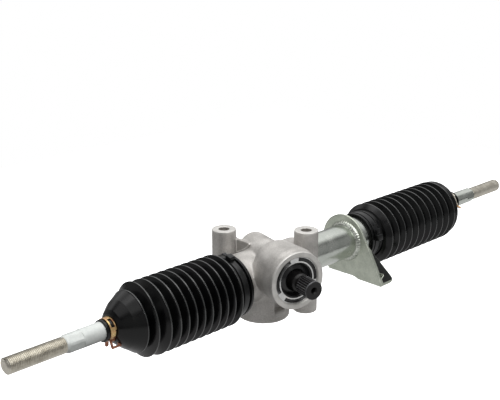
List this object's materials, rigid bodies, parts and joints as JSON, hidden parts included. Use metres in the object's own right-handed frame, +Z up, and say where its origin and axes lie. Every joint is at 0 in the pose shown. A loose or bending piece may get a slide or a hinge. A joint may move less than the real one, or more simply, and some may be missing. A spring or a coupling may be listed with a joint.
{
  "type": "steering rack",
  "caption": "Manual rack-and-pinion steering gear: cast pinion housing, steel rack tube with bracket, tie rods on ball joints and ribbed rubber boots.",
  "frame": {"origin": "on the axis of the front bolt bore, at the height of the rack axis", "axes": "+X along the rack toward the tube and bracket end, +Y away from the pinion mouth, +Z up along the bolt bores"},
  "size_m": [0.675, 0.1328, 0.0844],
  "materials": {
    "cast_aluminium": "bead-blasted die casting",
    "zinc_steel": "clear zinc plate",
    "weld_steel": "weld metal under zinc",
    "rod_steel": "bluish zinc plate",
    "rack_steel": "ground and greased",
    "socket_steel": "turned, phosphated",
    "bearing_steel": "ground",
    "spring_steel": "plain",
    "ring_steel": "bright",
    "black_oxide_steel": "black oxide",
    "clamp_zinc": "yellow zinc plate",
    "boot_rubber": "satin black",
    "seal_rubber": "black",
    "tie_nylon": "black nylon",
    "bush_polymer": "dark acetal",
    "seat_polymer": "natural acetal"
  },
  "bodies": {
    "housing": {"pinion_housing": "cast_aluminium", "rack_tube": "zinc_steel", "boot_sleeve": "zinc_steel", "tube_bracket": "zinc_steel", "bracket_weld": "weld_steel", "rack_bush": "bush_polymer", "yoke_piston": "cast_aluminium", "yoke_liner": "bush_polymer", "yoke_spring": "spring_steel", "yoke_plug": "cast_aluminium", "yoke_ring": "seal_rubber", "bearing_outer": "bearing_steel", "needle_bush": "bearing_steel", "pinion_seal": "seal_rubber", "retaining_ring": "ring_steel", "left_boot": "boot_rubber", "right_boot": "boot_rubber", "left_cable_tie": "tie_nylon", "right_cable_tie": "tie_nylon"},
    "pinion": {"pinion_shaft": "black_oxide_steel", "bearing_inner": "bearing_steel", "bearing_balls": "bearing_steel"},
    "rack": {"rack_bar": "rack_steel", "left_lock_washer": "spring_steel", "left_ball_socket": "socket_steel", "right_lock_washer": "spring_steel", "right_ball_socket": "socket_steel"},
    "left_seat": {"left_ball_seat": "seat_polymer"},
    "left_rod": {"left_tie_rod": "rod_steel", "left_small_clamp": "clamp_zinc"},
    "right_seat": {"right_ball_seat": "seat_polymer"},
    "right_rod": {"right_tie_rod": "rod_steel", "right_small_clamp": "clamp_zinc"}
  },
  "joints": [
    {"name": "rack_slide", "type": "slide", "parent": "housing", "child": "rack", "axis": [1, 0, 0], "range_m": [-0.072, 0.046], "deforming": ["left_boot", "right_boot"]},
    {"name": "pinion_turn", "type": "hinge", "parent": "housing", "child": "pinion", "pos_m": [-0.0363, 0.02225, 0.012], "axis": [-0.2453, -0.9694, 0], "range_deg": [-571.9, 365.6]},
    {"name": "left_rod_swing", "type": "hinge", "parent": "rack", "child": "left_seat", "pos_m": [-0.1631, 0.02225, 0], "axis": [0, 0, 1], "range_deg": [-22, 22]},
    {"name": "left_rod_tilt", "type": "hinge", "parent": "left_seat", "child": "left_rod", "pos_m": [-0.1631, 0.02225, 0], "axis": [0, 1, 0], "range_deg": [-22, 22]},
    {"name": "right_rod_swing", "type": "hinge", "parent": "rack", "child": "right_seat", "pos_m": [0.2119, 0.02225, 0], "axis": [0, 0, 1], "range_deg": [-22, 22]},
    {"name": "right_rod_tilt", "type": "hinge", "parent": "right_seat", "child": "right_rod", "pos_m": [0.2119, 0.02225, 0], "axis": [0, 1, 0], "range_deg": [-22, 22]}
  ],
  "couplings": [
    {"joint": "pinion_turn", "follows": "rack_slide", "rad_per_m": 138.49}
  ]
}
